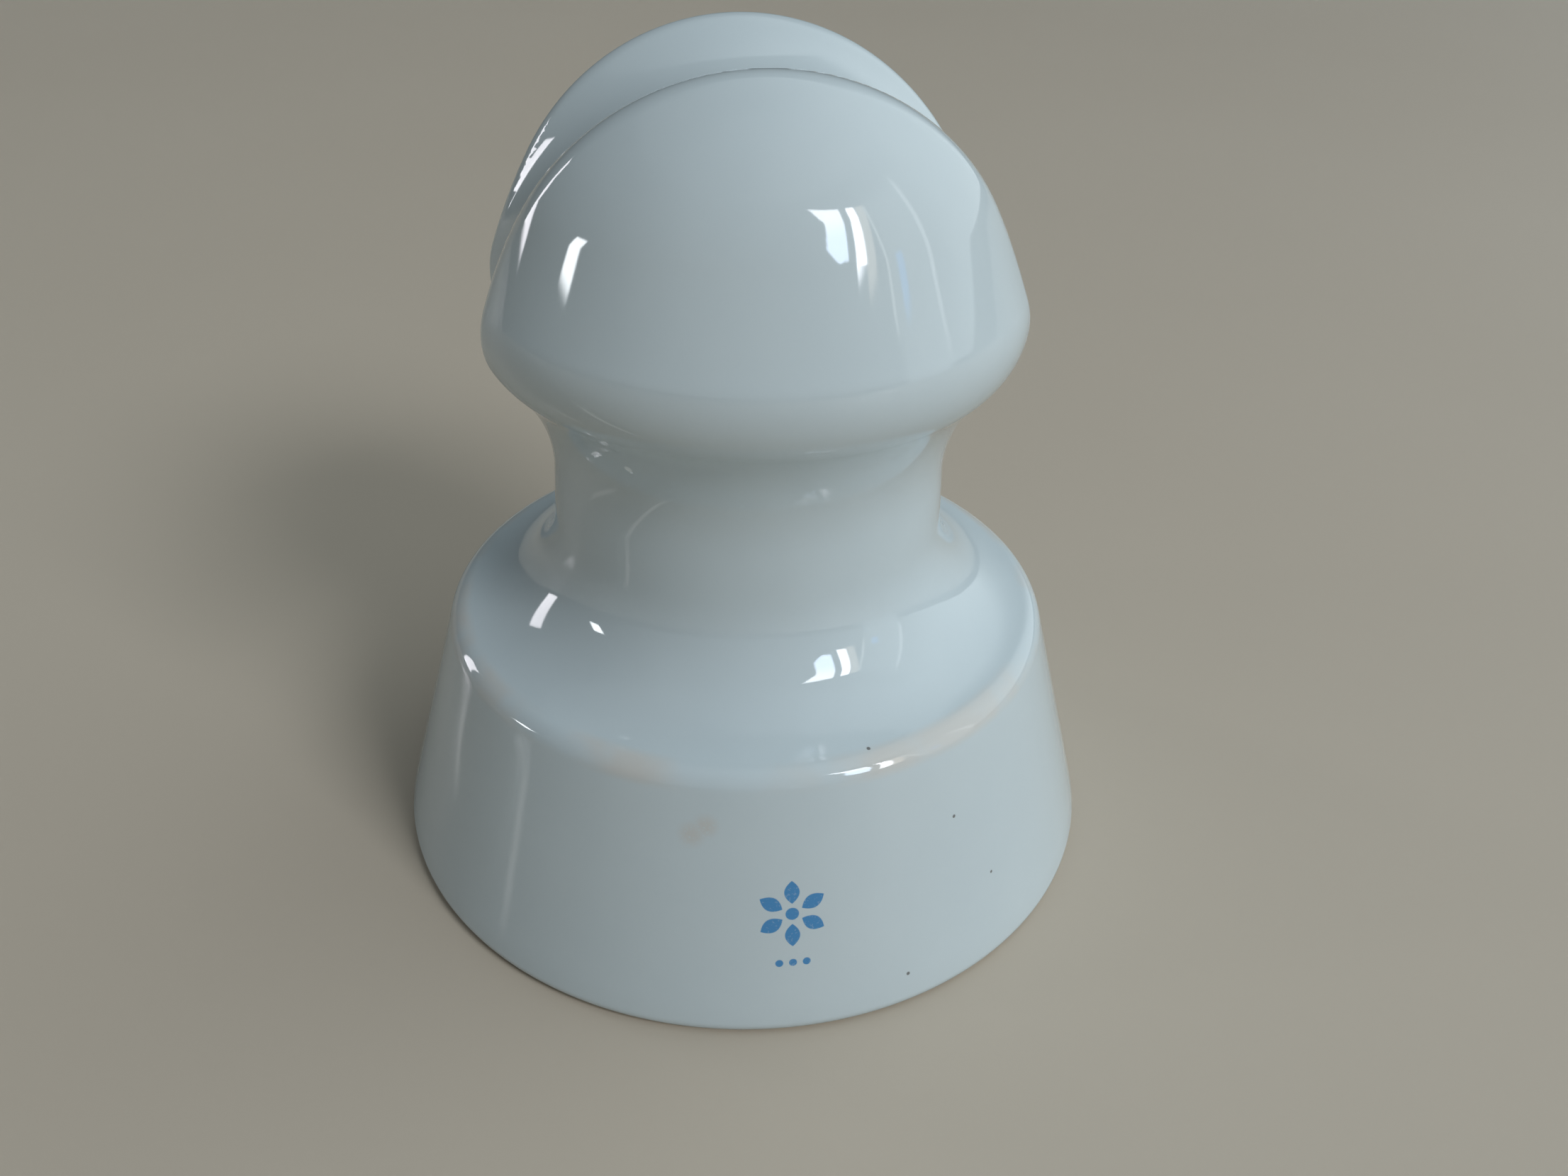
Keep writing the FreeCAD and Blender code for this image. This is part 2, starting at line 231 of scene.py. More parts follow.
def grid_mesh(name, points, normals):
    """Closed mesh of a grid whose columns go round and whose first and last rows are single points.

    Where a normal is given, the shading follows it; elsewhere it follows the faces.
    """
    rows, columns = points.shape[:2]
    vertices = np.vstack((points[0, :1], points[1:-1].reshape(-1, 3), points[-1, :1]))
    index = 1 + np.arange((rows - 2) * columns).reshape(rows - 2, columns)
    following = np.roll(index, -1, 1)
    quads = np.stack((index[:-1], following[:-1], following[1:], index[1:]), -1).reshape(-1, 4)
    last = len(vertices) - 1
    start = np.stack((np.zeros_like(index[0]), following[0], index[0]), -1)
    end = np.stack((index[-1], following[-1], np.full_like(index[0], last)), -1)
    mesh = bpy.data.meshes.new(name)
    mesh.from_pydata((vertices * MM).tolist(), [], start.tolist() + quads.tolist() + end.tolist())
    mesh.update()
    mesh.polygons.foreach_set("use_smooth", [True] * len(mesh.polygons))
    mesh.set_sharp_from_angle(angle=SHARP_ANGLE)
    given = np.vstack((normals[0, :1], normals[1:-1].reshape(-1, 3), normals[-1, :1]))
    mesh.normals_split_custom_set_from_vertices(given.tolist())
    return mesh


def new_object(name, data):
    """Object in the scene that shows a mesh, a lamp or a camera."""
    made = bpy.data.objects.new(name, data)
    bpy.context.scene.collection.objects.link(made)
    return made


# Where a Mix node has its two colours and, among its outputs, the mixed one.
FIRST_COLOUR, SECOND_COLOUR, MIXED_COLOUR = 6, 7, 2


class Field:
    """A value that varies over a surface. Arithmetic on it adds Math nodes to its material."""

    def __init__(self, paint, socket):
        self.paint, self.socket = paint, socket

    def math(self, operation, *values):
        """Result of an operation of the Math node on these values."""
        return self.paint.node("Math", {"operation": operation}, dict(enumerate(values)))

    def __add__(self, other):
        return self.math("ADD", self, other)

    def __sub__(self, other):
        return self.math("SUBTRACT", self, other)

    def __rsub__(self, other):
        return self.math("SUBTRACT", other, self)

    def __mul__(self, other):
        return self.math("MULTIPLY", self, other)

    def __truediv__(self, other):
        return self.math("DIVIDE", self, other)

    def __abs__(self):
        return self.math("ABSOLUTE", self)

    def larger(self, other):
        return self.math("MAXIMUM", self, other)

    def with_side(self, other):
        """Length of the line whose two sides at a right angle are this value and another."""
        return self.math("SQRT", self * self + other * other)

    __radd__, __rmul__ = __add__, __mul__


class Paint:
    """The nodes of one material, or of the room's light, in the making."""

    def __init__(self, owner, place="Object"):
        owner.use_nodes = True
        self.owner, self.tree = owner, owner.node_tree
        self.tree.nodes.clear()
        self.place = self.node("TexCoord", {}, {}, place)
        parts = self.node("SeparateXYZ", {}, {0: self.place}).socket.node.outputs
        self.x, self.y, self.z = (Field(self, part) for part in parts)

    def node(self, kind, settings, values, output=0):
        """A node with its settings, and with its sockets' values or links. Returns one of its outputs."""
        made = self.tree.nodes.new(f"ShaderNode{kind}")
        for key, value in settings.items():
            if key == "stops":
                ramp = made.color_ramp.elements
                while len(ramp) < len(value):
                    ramp.new(0.5)
                for element, (position, colour) in zip(ramp, value):
                    element.position, element.color = position, (*colour, 1)
            else:
                setattr(made, key, value)
        for key, value in values.items():
            if isinstance(value, Field):
                self.tree.links.new(value.socket, made.inputs[key])
            else:
                made.inputs[key].default_value = value
        return Field(self, made.outputs[output])

    def mix(self, first, second, share):
        """Colour between two others, each a colour or a field."""
        first, second = (v if isinstance(v, Field) else (*v, 1) for v in (first, second))
        values = {"Factor": share, FIRST_COLOUR: first, SECOND_COLOUR: second}
        return self.node("Mix", {"data_type": "RGBA"}, values, MIXED_COLOUR)

    def smooth(self, value, low, high):
        """0 below low and 1 above high, with a soft step between; low above high turns it round."""
        values = {"Value": value, "From Min": low, "From Max": high}
        return self.node("MapRange", {"interpolation_type": "SMOOTHSTEP"}, values)

    def above(self, value, level, soft=0.5):
        """1 above a level and 0 below it, with a soft step that reaches so far to both sides."""
        return self.smooth(value, level - soft, level + soft)

    def below(self, value, level, soft=0.5):
        """1 below a level and 0 above it, with a soft step that reaches so far to both sides."""
        return self.smooth(value, level + soft, level - soft)

    def band(self, value, ends, soft=0.6):
        """1 between two ends and 0 outside, with a soft step at both."""
        low, high = ends
        return self.below(abs(value - (low + high) / 2), (high - low) / 2, soft)

    def millimetres(self):
        """The three parts of the place, in millimetres."""
        return self.x / MM, self.y / MM, self.z / MM

    def noise(self, scale, detail):
        """Noise from 0 to 1 with so many lumps a metre, or a unit of direction in the room."""
        return self.node("TexNoise", {}, {"Vector": self.place, "Scale": scale, "Detail": detail})

    def near(self, spot, radius, blur):
        """1 within a radius of a spot on the body, in millimetres, fading to 0 over the blur."""
        spot = [side * MM for side in spot]
        away = self.node("VectorMath", {"operation": "DISTANCE"}, {0: self.place, 1: spot}, "Value")
        return self.smooth(away, (radius + blur) * MM, radius * MM)

    def near_ring(self, radius, height, half, blur):
        """1 within so many millimetres of a ring round Z, fading to 0 over the blur."""
        out = self.x.with_side(self.y) - radius * MM
        away = out.with_side(self.z - height * MM)
        return self.smooth(away, (half + blur) * MM, half * MM)

    def surface(self, values):
        """Plain surface shader with the given values."""
        return self.node("BsdfPrincipled", {}, values)

    def finish(self, shader, kind="Material"):
        """Joins the shader to the output and returns the material or the world."""
        end = self.tree.nodes.new(f"ShaderNodeOutput{kind}")
        self.tree.links.new(shader.socket, end.inputs["Surface"])
        return self.owner


def srgb(*values):
    """Scene colour of an ordinary 0 to 255 colour."""
    return tuple(v / 255 / 12.92 if v <= 10.31475 else ((v / 255 + 0.055) / 1.055) ** 2.4 for v in values)


# Colours of the glaze and of what lies on it.
GLAZE_COLOURS = (srgb(193, 206, 211), srgb(200, 212, 216))
BARE_COLOURS = (srgb(205, 198, 186), srgb(178, 168, 153))
TINT_COLOUR, SMEAR_COLOUR = srgb(206, 195, 182), srgb(196, 181, 165)
PALE_COLOUR, SPECK_COLOUR = srgb(236, 243, 245), srgb(70, 62, 56)
INK_COLOUR = srgb(36, 128, 188)

# Finish: index, roughnesses, and heights of the waves in the glaze and of the grain on what is bare.
GLAZE_IOR, GLAZE_ROUGH, CLOUD_ROUGH, BARE_ROUGH, GRAIN_ROUGH = 1.52, 0.022, 0.03, 0.66, 0.1
WAVE_HEIGHT, GRAIN_HEIGHT = 0.09 * MM, 0.08 * MM
# Noises: lumps a metre, and detail. Then the values between which a mark comes up out of its noise.
CLOUDS, GRAINS, EDGES, WAVES = (60, 3.0), (3000, 2.0), (300, 2.0), (70, 1.0)
TINT_CLOUDS, SMEAR_GRAINS, INK_GRAINS = (0.36, 0.62), (0.2, 0.5), (0.30, 0.42)

# Bare porcelain, in millimetres: the foot up to a height and from a radius outward, and the pin hole within a
# radius and up to a height. A noise moves both edges by up to a reach, and they are soft.
BARE_FOOT_HEIGHT, BARE_FOOT_RADIUS, FOOT_EDGE_REACH, FOOT_EDGE_SOFT = 0.8, 47.0, 0.6, 0.2
BARE_HOLE_HEIGHT, BARE_HOLE_RADIUS, HOLE_EDGE_REACH, HOLE_EDGE_SOFT = 76.0, 14.9, 0.8, 0.3

# Tint along the shoulder, in millimetres: how far in and down from its corner, half width and blur.
TINT_IN, TINT_DOWN, TINT_HALF, TINT_BLUR = 0.9, 0.8, 1.1, 1.6
# Marks on the glaze: the place of each in millimetres, and its radius or, for the smear, its blur. A speck is
# full over a share of its radius and fades over as much again.
SPECKS = (
    ((11.8, -41.3, 38.6), 0.3),
    ((24.5, -42.3, 26.0), 0.28),
    ((31.3, -41.9, 14.0), 0.25),
    ((17.6, -51.8, 5.4), 0.3),
)
SPECK_SHARE = 0.6
SMEAR_RADIUS, SMEARS = 0.3, (((-12.3, -46.1, 30.0), 2.2), ((-10.4, -46.2, 31.3), 2.0))
PALE_SPOT, PALE_RADIUS = (-18.2, -25.5, 73.8), 0.35
TINT_STRENGTH, SMEAR_STRENGTH, SPECK_STRENGTH = 0.5, 0.35, 0.8

# Stamp on the skirt, in millimetres: six petals round a dot, and a row of three small dots under it. It is on
# the side where y is less than its front. Its ink has a least strength, and the grain adds to it.
STAMP_TURN, STAMP_HEIGHT, STAMP_FRONT, FRONT_SOFT = math.radians(0.9), 18.6, -32.5, 2.5
PETALS, PETAL_MIDDLE, PETAL_HALF_LENGTH, PETAL_HALF_WIDTH = 6, 3.3, 1.75, 1.05
DOT_RADIUS, SMALL_DOT_RADIUS, ROW_DROP, ROW_SPACING = 0.925, 0.55, 7.6, 1.9
PETAL_EDGE, DOT_EDGE, SMALL_DOT_EDGE = 0.08, 0.075, 0.07
INK_STRENGTH, INK_GRAIN = 0.72, 0.2


def stamp(paint, grain):
    """Strength of the stamp's ink, worked out in millimetres across and up the skirt's slope.

    The directions round the stamp's middle are folded into half of one petal's share of a turn, with the
    petal along the fold. Its half width falls with the square of the distance from the petal's middle. The
    row is folded about its middle dot, and once more between that dot and its neighbour.
    """
    x, y, z = paint.millimetres()
    across = x * math.cos(STAMP_TURN) + y * math.sin(STAMP_TURN)
    up = (z - STAMP_HEIGHT) / math.cos(SKIRT_TILT)
    away = across.with_side(up)
    half_sector = math.pi / PETALS
    turn = across.math("ARCTAN2", across, up)
    folded = abs(turn.math("WRAP", turn, half_sector, -half_sector))
    along = away * folded.math("COSINE", folded)
    aside = away * folded.math("SINE", folded)
    middle = (along - PETAL_MIDDLE) / PETAL_HALF_LENGTH
    petals = paint.above((1 - middle * middle) * PETAL_HALF_WIDTH - aside, 0.0, PETAL_EDGE)
    dot = paint.below(away, DOT_RADIUS, DOT_EDGE)
    side = abs(across)
    side = side.math("MINIMUM", abs(side - ROW_SPACING), side)
    row = paint.below(side.with_side(up + ROW_DROP), SMALL_DOT_RADIUS, SMALL_DOT_EDGE)
    ink = petals.larger(dot).larger(row) * paint.below(y, STAMP_FRONT, FRONT_SOFT)
    return ink * (INK_STRENGTH + INK_GRAIN * paint.smooth(grain, *INK_GRAINS))


def bare_parts(paint, edge):
    """1 on the foot ring and in the pin hole, which have no glaze. A noise makes their edges uneven."""
    x, y, z = paint.millimetres()
    radius = x.with_side(y)
    foot = paint.below(z + FOOT_EDGE_REACH * edge, BARE_FOOT_HEIGHT, FOOT_EDGE_SOFT)
    foot = foot * paint.above(radius, BARE_FOOT_RADIUS)
    hole = paint.below(radius + HOLE_EDGE_REACH * edge, BARE_HOLE_RADIUS, HOLE_EDGE_SOFT)
    return foot.larger(hole * paint.below(z, BARE_HOLE_HEIGHT))


def marked_glaze(paint, cloud, grain):
    """Colour of the glaze with a tan tint along the shoulder, a faint smear, a pale spot and iron specks."""
    colour = paint.mix(*GLAZE_COLOURS, cloud)
    edge = paint.near_ring(SHOULDER_RADIUS - TINT_IN, SHOULDER_HEIGHT - TINT_DOWN, TINT_HALF, TINT_BLUR)
    colour = paint.mix(colour, TINT_COLOUR, edge * paint.smooth(cloud, *TINT_CLOUDS) * TINT_STRENGTH)
    first, second = (paint.near(spot, SMEAR_RADIUS, blur) for spot, blur in SMEARS)
    smear = first.larger(second) * paint.smooth(grain, *SMEAR_GRAINS)
    colour = paint.mix(colour, SMEAR_COLOUR, smear * SMEAR_STRENGTH)
    colour = paint.mix(colour, PALE_COLOUR, paint.near(PALE_SPOT, PALE_RADIUS, PALE_RADIUS))
    for spot, radius in SPECKS:
        speck = paint.near(spot, radius * SPECK_SHARE, radius * SPECK_SHARE)
        colour = paint.mix(colour, SPECK_COLOUR, speck * SPECK_STRENGTH)
    return colour


def glaze_material():
    """White glaze with a blue stamp on the skirt, over porcelain that is bare on the foot and in the hole."""
    paint = Paint(bpy.data.materials.new("porcelain_glaze"))
    cloud, grain, edge, wave = (paint.noise(*noise) for noise in (CLOUDS, GRAINS, EDGES, WAVES))
    bare = bare_parts(paint, edge)
    colour = paint.mix(marked_glaze(paint, cloud, grain), INK_COLOUR, stamp(paint, grain))
    colour = paint.mix(colour, paint.mix(*BARE_COLOURS, edge), bare)
    rough = GLAZE_ROUGH + CLOUD_ROUGH * cloud + bare * (BARE_ROUGH + GRAIN_ROUGH * grain)
    height = wave * WAVE_HEIGHT + bare * grain * GRAIN_HEIGHT
    bump = paint.node("Bump", {}, {"Strength": 1.0, "Distance": 1.0, "Height": height})
    values = {"Base Color": colour, "Roughness": rough, "Normal": bump, "IOR": GLAZE_IOR}
    return paint.finish(paint.surface(values))


# Floor: colours and their noise, roughness as it is seen and as the glaze mirrors it, where it does so in
# millimetres, and the ring's radii in metres and its sides.
FLOOR_COLOURS, FLOOR_CLOUDS = (srgb(182, 171, 155), srgb(191, 181, 166)), (3, 3.0)
FLOOR_ROUGH, SATIN_ROUGH, SATIN_RADIUS, SATIN_SIDE, SATIN_BLUR = 0.6, 0.16, 165.0, -5.0, 25.0
FLOOR_INNER, FLOOR_OUTER, FLOOR_SIDES = 0.054, 8.0, 128

# Glare of the two left windows on the floor, in millimetres. The near stripe is a fan from a point, between
# two slopes seen from there. The far stripe is slanted: x plus a share of y stays between two values.
FAN_X, FAN_Y, FAN_SLOPES, FAN_REACH, FAN_STRENGTH = -22.0, -38.2, (0.014, 0.066), (-132.0, -56.0), 0.65
SLANT, SLANT_ENDS, SLANT_REACH, SLANT_STRENGTH = 0.92, (-87.0, -81.5), (-4.0, 20.0), 0.32
NO_GLARE, GLARE_COLOUR = (0.0, 0.0, 0.0), (1.0, 0.98, 0.96)


def floor_glare(paint):
    """Strength of the left windows' glare: two soft stripes on the floor, left of the foot."""
    x, y = paint.x / MM, paint.y / MM
    near = paint.band((y - FAN_Y) / (x - FAN_X), FAN_SLOPES, soft=0.026) * paint.band(x, FAN_REACH, soft=12.0)
    far = paint.band(x + y * SLANT, SLANT_ENDS, soft=2.5) * paint.band(y, SLANT_REACH, soft=6.0)
    return near * FAN_STRENGTH + far * SLANT_STRENGTH


def floor_material():
    """Pale matt floor that can be looked through from below.

    The glaze mirrors it with a satin sheen left of the foot and with the glare of the two left windows.
    """
    paint = Paint(bpy.data.materials.new("pale_floor"))
    in_glaze = paint.node("LightPath", {}, {}, "Is Glossy Ray")
    x, y = paint.x / MM, paint.y / MM
    left = paint.below(x.with_side(y), SATIN_RADIUS, SATIN_BLUR) * paint.below(x, SATIN_SIDE, SATIN_BLUR)
    matt = paint.surface({
        "Base Color": paint.mix(*FLOOR_COLOURS, paint.noise(*FLOOR_CLOUDS)),
        "Roughness": FLOOR_ROUGH - (FLOOR_ROUGH - SATIN_ROUGH) * (in_glaze * left),
        "Emission Color": paint.mix(NO_GLARE, GLARE_COLOUR, in_glaze * floor_glare(paint)),
        "Emission Strength": 1.0,
    })
    clear = paint.node("BsdfTransparent", {}, {})
    below = paint.node("NewGeometry", {}, {}, "Backfacing")
    return paint.finish(paint.node("MixShader", {}, {0: below, 1: matt, 2: clear}))


def floor():
    """Flat ring round the foot, wide enough to fill the view; the foot closes its middle."""
    angle = np.linspace(0, 2 * math.pi, FLOOR_SIDES, endpoint=False)
    ring = np.stack((np.cos(angle), np.sin(angle), 0 * angle), -1)
    points = np.concatenate((ring * FLOOR_INNER, ring * FLOOR_OUTER))
    inner = np.arange(FLOOR_SIDES)
    outer = inner + FLOOR_SIDES
    faces = np.stack((inner, outer, np.roll(outer, -1), np.roll(inner, -1)), -1)
    mesh = bpy.data.meshes.new("floor")
    mesh.from_pydata(points.tolist(), [], faces.tolist())
    mesh.materials.append(floor_material())
    return new_object("floor", mesh)


# Lamps of the windows: azimuth from the front towards the right, elevation, width and height in degrees, and
# level.
LAMPS = {
    "window_front": (38.0, 38.0, 18.0, 14.0, 19.0),
    "window_far_left": (-125.0, 13.0, 5.0, 21.0, 6.0),
    "window_left": (-89.0, 13.0, 5.0, 6.0, 14.0),
}
LAMP_COLOUR, LAMP_AWAY, LAMP_AIM = (0.96, 1.0, 1.04), 2.5, Vector((0, 0, 0.06))


def window_light(name, azimuth, elevation, wide, high, level):
    """Upright lamp that faces the object. The glaze mirrors the window in the painted room instead of it."""
    side, rise = math.radians(azimuth), math.radians(elevation)
    way = Vector((math.sin(side) * math.cos(rise), -math.cos(side) * math.cos(rise), math.sin(rise)))
    lamp = bpy.data.lights.new(name, "AREA")
    lamp.shape = "RECTANGLE"
    lamp.size, lamp.size_y = (2 * LAMP_AWAY * math.tan(math.radians(v) / 2) for v in (wide, high))
    lamp.energy = level * math.pi * lamp.size * lamp.size_y
    lamp.color = LAMP_COLOUR
    panel = new_object(name, lamp)
    panel.location = LAMP_AIM + way * LAMP_AWAY
    panel.rotation_euler = way.to_track_quat("Z", "Y").to_euler()
    panel.visible_camera = panel.visible_glossy = False


# Room by direction, in degrees: azimuth from the front towards the right, and elevation. First the walls'
# level at each azimuth, their tint, and a scale that keeps the levels under 1 in the colour ramp. Then the
# colours of the rest and where each begins. The ceiling grows light towards one side, about a middle that
# lies a little on that side.
WALL_LEVELS = (
    (-180, 0.09), (-150, 0.04), (-100, 0.055), (-60, 0.065), (-30, 0.09), (15, 0.14), (50, 0.30),
    (80, 0.80), (95, 1.12), (133, 1.07), (142, 0.34), (152, 0.11), (180, 0.09),
)
WALL_TINT, WALL_SCALE = (0.90, 1.0, 1.04), 1.5
CEILING_FOOT, CEILING_DIM, CEILING_LIGHT = 50.0, (0.205, 0.23, 0.24), (1.05, 1.16, 1.21)
LIGHT_SIDE, LIGHT_MIDDLE, LIGHT_SOFT = (0.97, 0.24), 0.25, 0.6
SKIRTING_TOP, SKIRTING_COLOUR = 3.9, (0.04, 0.04, 0.04)
FLOOR_LINE, BELOW_COLOUR = -1.5, (0.55, 0.55, 0.55)
BACKDROP_COLOUR = srgb(212, 204, 192)

# Front wall, as the glaze mirrors it: its glow, and a pale hanging with a bright hem right of the window.
GLOW_FOOT, GLOW_SIDES, GLOW_COLOUR = 4.0, (-60.0, 90.0), (0.75, 0.85, 0.90)
GLOW_STRENGTH, HANGING_STRENGTH = 0.4, 0.8
HANGING_TOP, HANGING_SIDES, HANGING_COLOUR = 39.0, (56.0, 77.0), (1.00, 1.12, 1.18)
HEM_SIDES, HEM_HEIGHTS, HEM_COLOUR = (76.5, 78.5), (8.0, 38.0), (2.6, 2.8, 2.9)

# Front window: below a height it leans to the left, and its lintel falls to the right. From left to right it
# has a pane with trees before its lower left corner, a bright strip, a curtain and the curtain's edge.
LEAN, LEAN_BELOW, LINTEL, LINTEL_FALL = 0.3, 36.0, 51.1, 0.23
TREE_SIDE, TREE_WIDENS_BELOW, TREE_NARROWS_ABOVE, TREE_NARROWS = 31.2, 28.0, 38.6, 0.93
LEAVES, LEAF_REACH, LEAF_SIDE_SHARE = (26, 1.0), 2.6, 0.6
PANE_SIDE, PANE_FOOT, SKY_MIDDLE = 41.8, 22.5, 35.5
SKY_LOW, SKY_HIGH = (10.0, 12.0, 15.0), (13.5, 14.0, 15.0)
STRIP_LEFT, STRIP_RIGHT, STRIP_FLARE, STRIP_FOOT, STRIP_COLOUR = 45.7, 50.0, 0.16, 19.1, (22.0, 22.5, 24.0)
CURTAIN_SIDES, CURTAIN_FOOT, CURTAIN_COLOUR = (50.4, 55.0), 17.5, (3.2, 2.9, 2.5)
EDGE_SIDES, EDGE_HEIGHTS, EDGE_COLOUR = (54.6, 55.8), (14.0, 38.0), (2.6, 2.8, 2.8)
BLUE_SIDES, BLUE_HEIGHTS, BLUE_COLOUR = (60.0, 63.5), (13.5, 18.5), (0.7, 1.7, 3.4)

# Two narrow windows on the left. Each leans by a share of the way from the slants' height, and the sill of
# the near one rises to the right.
SLANT_HEIGHT, FAR_SLANT, NEAR_SLANT, NEAR_SILL_RISE = 12.0, 0.16, -0.6, 0.18
FAR_SIDES, FAR_HEIGHTS, FAR_COLOUR = (-125.8, -119.2), (2.0, 23.5), (8.0, 7.8, 8.3)
NEAR_SIDES, NEAR_HEIGHTS, NEAR_COLOUR = (-91.3, -86.0), (25.8, 31.5), (17.0, 17.8, 18.3)


def paint_room(room, azimuth, elevation):
    """Walls that are dark but for the right, above a dark skirting and under a ceiling paler to the right.

    Below the floor it is evenly light, for the underside.
    """
    stops = [
        ((side + 180) / 360, [level * part / WALL_SCALE for part in WALL_TINT]) for side, level in WALL_LEVELS
    ]
    wall = room.node("ValToRGB", {"stops": stops}, {0: azimuth / 360 + 0.5})
    wall = room.node("VectorMath", {"operation": "SCALE"}, {0: wall, "Scale": WALL_SCALE})
    to_light = room.x * LIGHT_SIDE[0] + room.y * LIGHT_SIDE[1]
    ceiling = room.mix(CEILING_DIM, CEILING_LIGHT, room.above(to_light, LIGHT_MIDDLE, LIGHT_SOFT))
    colour = room.mix(wall, ceiling, room.above(elevation, CEILING_FOOT, soft=2.0))
    colour = room.mix(colour, SKIRTING_COLOUR, room.below(elevation, SKIRTING_TOP))
    return room.mix(colour, BELOW_COLOUR, room.below(elevation, FLOOR_LINE))


def paint_front_wall(room, azimuth, elevation, colour):
    """Adds the front wall's glow and the hanging with its hem."""
    glow = room.above(elevation, GLOW_FOOT, soft=0.4) * room.band(azimuth, GLOW_SIDES, soft=25.0)
    colour = room.mix(colour, GLOW_COLOUR, glow * GLOW_STRENGTH)
    hanging = room.band(azimuth, HANGING_SIDES, soft=1.0) * room.below(elevation, HANGING_TOP, soft=3.0)
    colour = room.mix(colour, HANGING_COLOUR, hanging * HANGING_STRENGTH)
    hem = room.band(azimuth, HEM_SIDES) * room.band(elevation, HEM_HEIGHTS, soft=3.0)
    return room.mix(colour, HEM_COLOUR, hem * HANGING_STRENGTH)


def paint_front_window(room, azimuth, elevation, colour):
    """Adds the front window with its trees, strip and curtain, and a blue patch on the hanging."""
    below_bend = (LEAN_BELOW - elevation).larger(0.0)
    leaning = azimuth + LEAN * below_bend
    below_lintel = room.below(elevation + LINTEL_FALL * azimuth, LINTEL, soft=0.4)
    leaves = (room.noise(*LEAVES) - 0.5) * LEAF_REACH
    narrower = TREE_NARROWS * (elevation - TREE_NARROWS_ABOVE).larger(0.0)
    trees = TREE_SIDE - narrower + (TREE_WIDENS_BELOW - elevation).larger(0.0)
    past_trees = room.above(leaning - trees - leaves * LEAF_SIDE_SHARE, 0.0, soft=0.7)
    pane = past_trees * room.below(leaning, PANE_SIDE) * below_lintel
    pane = pane * room.above(elevation + leaves, PANE_FOOT)
    sky = room.mix(SKY_LOW, SKY_HIGH, room.above(elevation, SKY_MIDDLE, soft=4.5))
    colour = room.mix(colour, sky, pane)
    strip = room.above(leaning, STRIP_LEFT) * room.below(leaning - STRIP_FLARE * below_bend, STRIP_RIGHT)
    strip = strip * below_lintel * room.above(elevation, STRIP_FOOT)
    colour = room.mix(colour, STRIP_COLOUR, strip)
    curtain = room.band(leaning, CURTAIN_SIDES, soft=0.8) * below_lintel * room.above(elevation, CURTAIN_FOOT)
    colour = room.mix(colour, CURTAIN_COLOUR, curtain)
    edge = room.band(azimuth, EDGE_SIDES, soft=0.5) * room.band(elevation, EDGE_HEIGHTS, soft=1.0)
    colour = room.mix(colour, EDGE_COLOUR, edge)
    blue = room.band(azimuth, BLUE_SIDES) * room.band(elevation, BLUE_HEIGHTS, soft=0.8)
    return room.mix(colour, BLUE_COLOUR, blue)


def paint_left_windows(room, azimuth, elevation, colour):
    """Adds the far and the near window on the left."""
    over = elevation - SLANT_HEIGHT
    far = room.band(azimuth + FAR_SLANT * over, FAR_SIDES) * room.band(elevation, FAR_HEIGHTS)
    colour = room.mix(colour, FAR_COLOUR, far)
    slanted = azimuth + NEAR_SLANT * over
    near = room.band(slanted, NEAR_SIDES) * room.band(elevation - NEAR_SILL_RISE * slanted, NEAR_HEIGHTS)
    return room.mix(colour, NEAR_COLOUR, near)


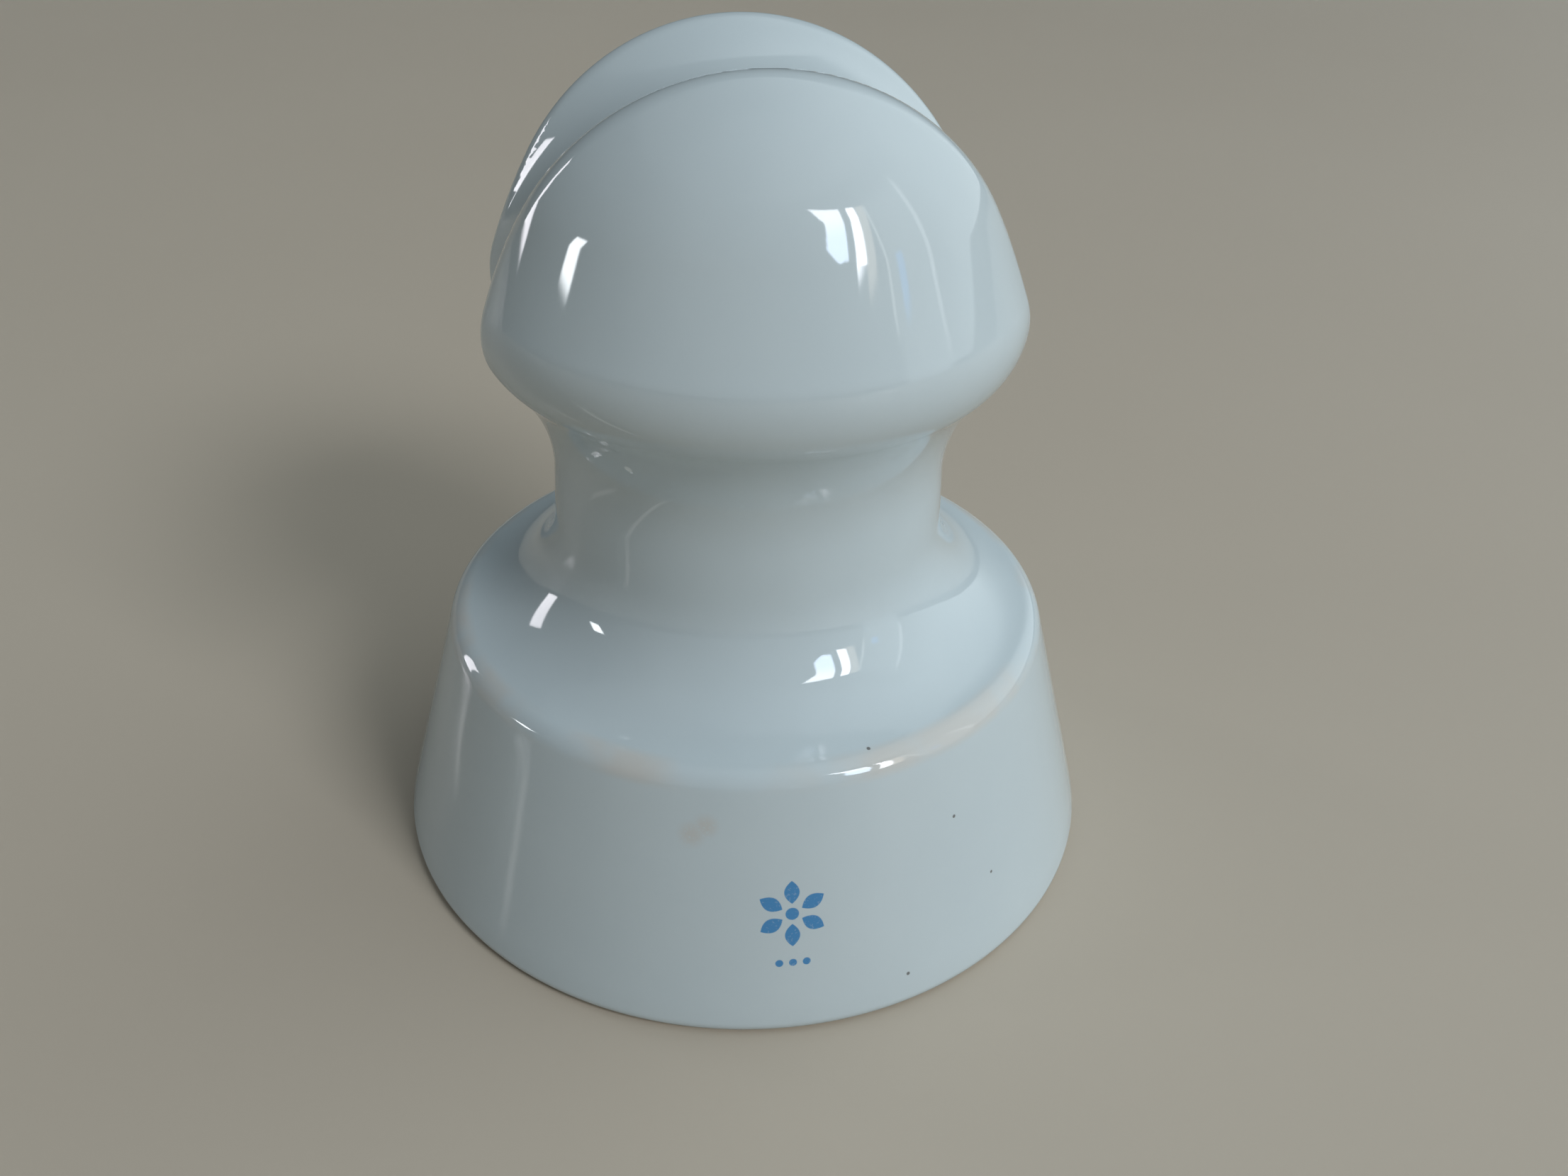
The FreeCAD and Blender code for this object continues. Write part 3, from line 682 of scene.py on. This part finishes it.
def make_world():
    """Light of a plain room, painted by direction. The windows are only in what glossy surfaces mirror.

    Where the camera sees past the floor, the room is an even pale backdrop.
    """
    world = bpy.data.worlds.new("plain_room")
    bpy.context.scene.world = world
    room = Paint(world, "Generated")
    azimuth = room.x.math("ARCTAN2", room.x, room.y * -1.0) * math.degrees(1)
    elevation = room.z.math("ARCSINE", room.z) * math.degrees(1)
    plain = paint_room(room, azimuth, elevation)
    shown = plain
    for paint_part in (paint_front_wall, paint_front_window, paint_left_windows):
        shown = paint_part(room, azimuth, elevation, shown)
    soft, sharp, backdrop = (
        room.node("Background", {}, {"Color": colour, "Strength": 1.0})
        for colour in (plain, shown, (*BACKDROP_COLOUR, 1))
    )
    in_gloss = room.node("LightPath", {}, {}, "Is Glossy Ray")
    to_camera = room.node("LightPath", {}, {}, "Is Camera Ray")
    light = room.node("MixShader", {}, {0: in_gloss, 1: soft, 2: sharp})
    room.finish(room.node("MixShader", {}, {0: to_camera, 1: light, 2: backdrop}), "World")


# The photograph's camera: focal length and width in pixels, place in millimetres, and its right and its top.
FOCAL_LENGTH, PHOTO_WIDTH, SENSOR_WIDTH = 1900, 2212, 36.0
CAMERA_PLACE = Vector((-19.963, -175.21, 156.901))
CAMERA_RIGHT, CAMERA_TOP = Vector((0.99136, -0.12876, 0.02509)), Vector((0.05163, 0.55877, 0.82771))
NEAREST_SEEN, FARTHEST_SEEN = 0.01, 50


def make_camera():
    """Camera at the photograph's place, turn and field of view."""
    data = bpy.data.cameras.new("camera")
    data.sensor_width, data.lens = SENSOR_WIDTH, SENSOR_WIDTH * FOCAL_LENGTH / PHOTO_WIDTH
    data.clip_start, data.clip_end = NEAREST_SEEN, FARTHEST_SEEN
    camera = new_object("camera", data)
    back = CAMERA_RIGHT.cross(CAMERA_TOP)
    turn = Matrix((CAMERA_RIGHT, CAMERA_TOP, back)).transposed().to_4x4()
    camera.matrix_world = Matrix.Translation(CAMERA_PLACE * MM) @ turn
    bpy.context.scene.camera = camera


body = new_object("glazed_body", grid_mesh("glazed_body", *body_points()))
body.data.materials.append(glaze_material())
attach(body, "root")
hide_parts("porcelain_body")

floor()
make_world()
for name, values in LAMPS.items():
    window_light(name, *values)
make_camera()

bpy.context.scene.view_settings.view_transform = "Standard"
